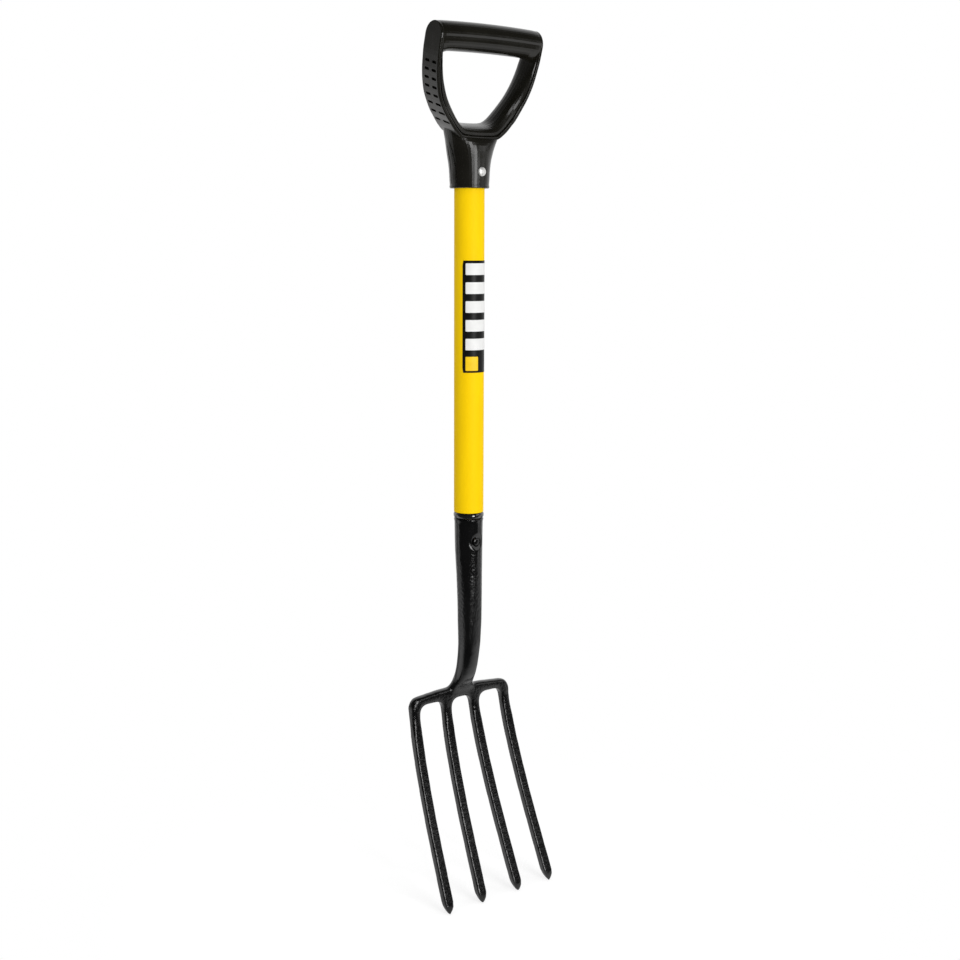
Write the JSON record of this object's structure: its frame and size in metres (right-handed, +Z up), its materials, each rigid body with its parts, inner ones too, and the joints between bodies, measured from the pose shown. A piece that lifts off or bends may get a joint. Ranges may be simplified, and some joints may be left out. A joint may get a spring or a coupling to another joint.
{
  "type": "border fork",
  "caption": "Border fork with a forged black head of flat-faced tines, a yellow tube shaft, a black bead collar and a leaning black D-handle.",
  "frame": {"origin": "middle of the fork's bounding box in X and Y, at the height of the tine tips", "axes": "+Z up along the shaft towards the grip, -Y towards the front that the tines curve to, X across the grip bar"},
  "size_m": [0.1492, 0.0858, 0.9309],
  "materials": {
    "black_plastic": "black moulded plastic with a low sheen",
    "yellow_coating": "smooth bright yellow coat over the tube",
    "black_lacquer": "glossy black lacquer over a forged surface",
    "black_bead": "glossy black ring",
    "bright_steel": "bright plated steel",
    "pale_wood": "turned pale wood"
  },
  "bodies": {
    "root": {"d_handle": "black_plastic", "handle_rivet": "bright_steel", "handle_rivet_washer": "bright_steel", "shaft_tube": "yellow_coating", "upper_plug": "pale_wood", "lower_dowel": "pale_wood", "collar_ring": "black_bead", "fork_head": "black_lacquer", "head_rivet": "bright_steel"}
  },
  "joints": []
}
